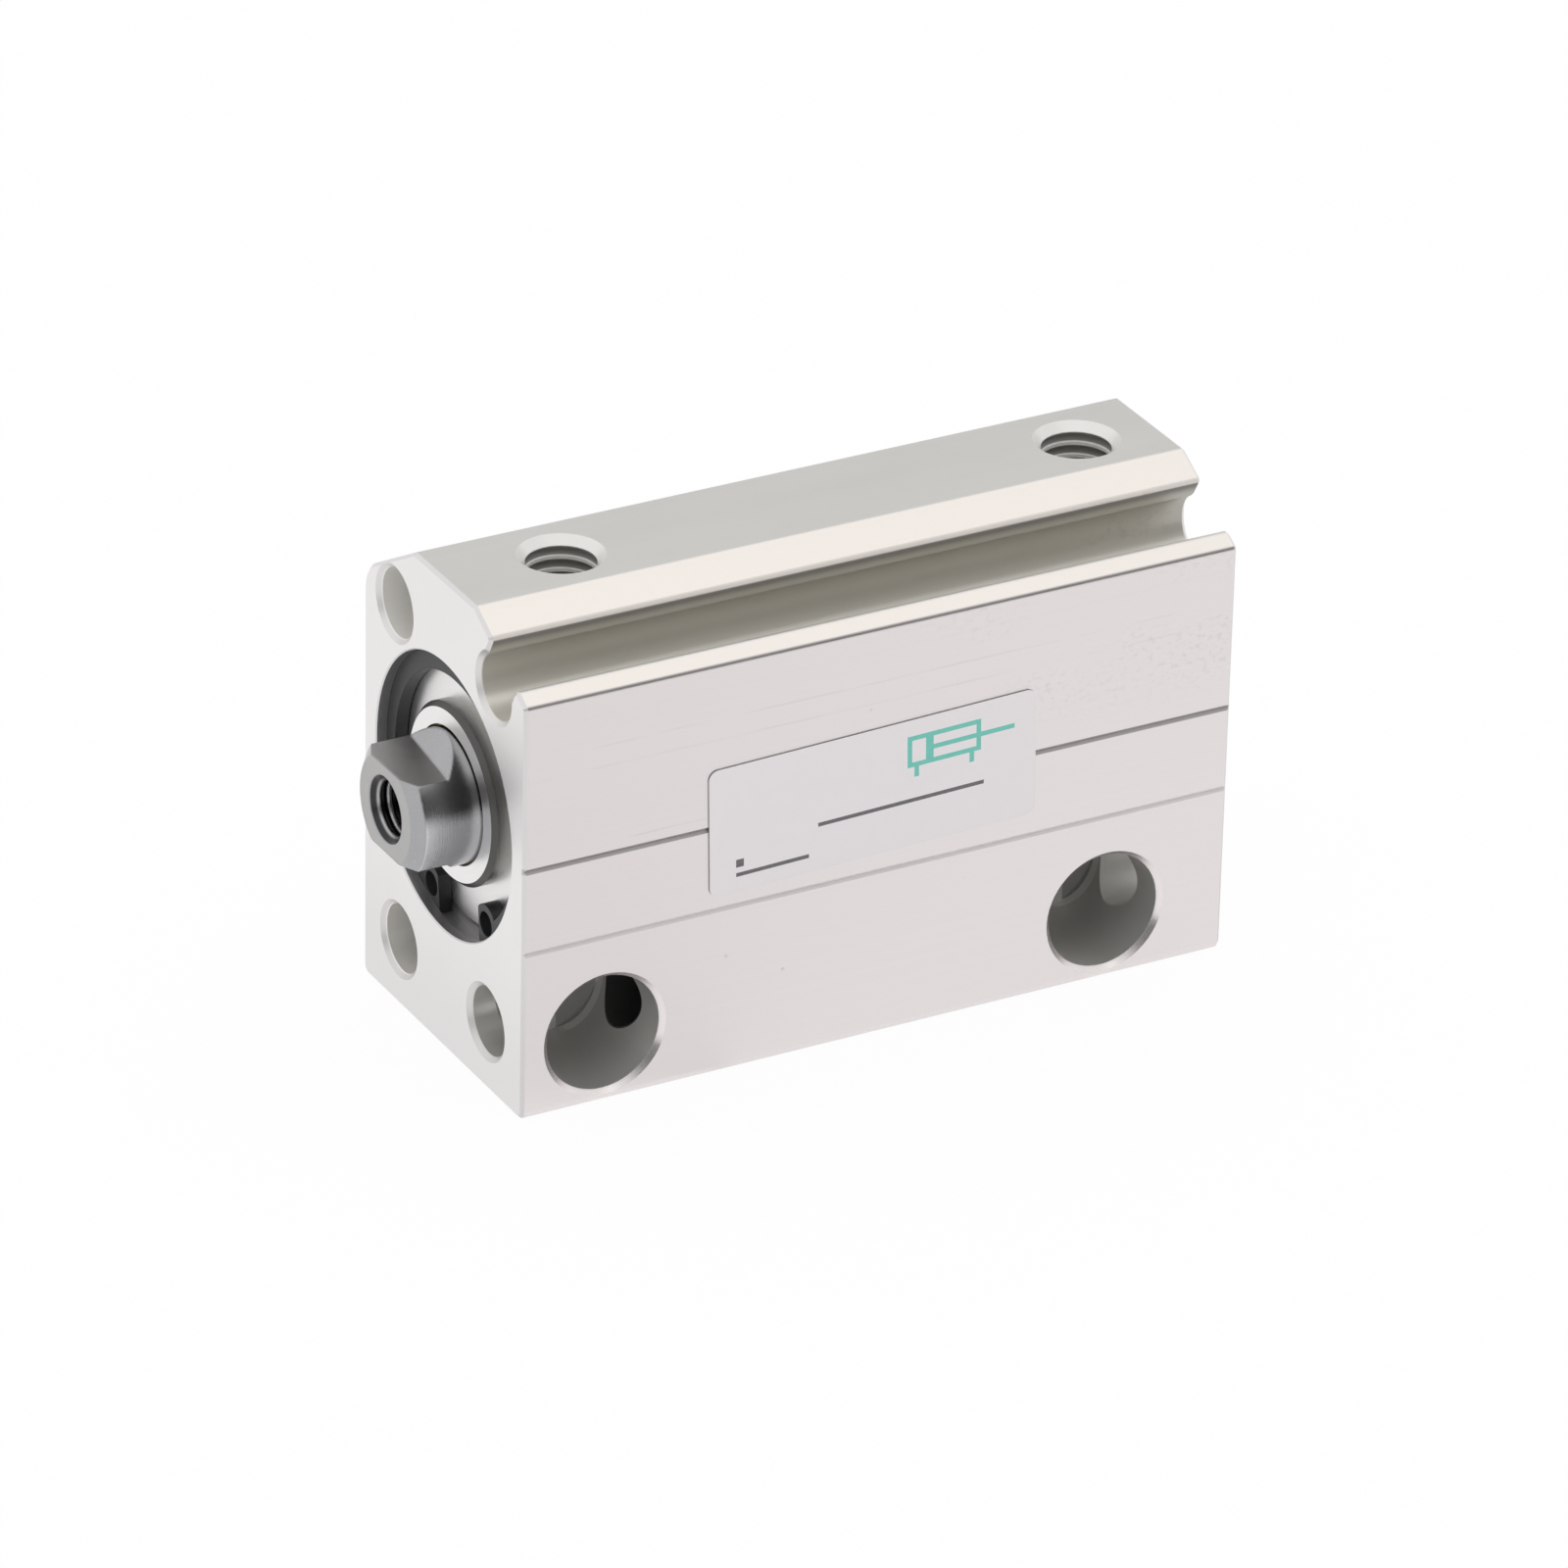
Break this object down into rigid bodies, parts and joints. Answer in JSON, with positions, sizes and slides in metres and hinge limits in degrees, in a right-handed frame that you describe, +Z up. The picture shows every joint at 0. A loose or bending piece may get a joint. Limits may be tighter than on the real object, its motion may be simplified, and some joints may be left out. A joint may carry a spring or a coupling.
{
  "type": "compact pneumatic cylinder",
  "caption": "Compact double-acting pneumatic cylinder: short extruded aluminium body with screw holes, ports on top, a sensor slot and a flatted rod with a threaded end.",
  "frame": {"origin": "middle of the body's bottom face", "axes": "+X along the bore from the rod end to the rear end, +Y from the counterbored side to the far side, +Z up towards the ports"},
  "size_m": [0.0497, 0.0201, 0.0299],
  "materials": {
    "body_metal": "clear matt anodised extrusion with fine lengthwise lines",
    "ring_steel": "black phosphated spring steel",
    "cover_metal": "turned, clear anodised",
    "bush_bronze": "sintered bronze",
    "seal_rubber": "smooth moulded nitrile",
    "plain_steel": "zinc-plated steel",
    "bumper_rubber": "moulded urethane",
    "rod_steel": "ground steel, hard chromed",
    "piston_metal": "turned, chromated",
    "guide_plastic": "filled bearing plastic",
    "magnet": "sintered, dull dark grey",
    "screw_steel": "black oxide",
    "label_film": "satin white film"
  },
  "bodies": {
    "barrel": {"cylinder_body": "body_metal", "retaining_ring": "ring_steel", "rod_cover": "cover_metal", "rod_bush": "bush_bronze", "rod_seal": "seal_rubber", "seal_retainer": "plain_steel", "cover_o_ring": "seal_rubber", "front_bumper": "bumper_rubber", "rear_plate": "cover_metal", "rear_o_ring": "seal_rubber", "rear_bumper": "bumper_rubber", "label": "label_film"},
    "piston_rings": {"piston_seal": "seal_rubber", "wear_ring": "guide_plastic"},
    "rod": {"piston_rod": "rod_steel", "piston": "piston_metal", "rod_o_ring": "seal_rubber", "magnet_ring": "magnet", "magnet_washer": "plain_steel", "piston_screw": "screw_steel"}
  },
  "joints": [
    {"name": "rod_stroke", "type": "slide", "parent": "barrel", "child": "piston_rings", "axis": [-1, 0, 0], "range_m": [0, 0.025]},
    {"name": "rod_turn", "type": "hinge", "parent": "piston_rings", "child": "rod", "pos_m": [0, 0, 0.01615], "axis": [-1, 0, 0], "continuous": true}
  ]
}
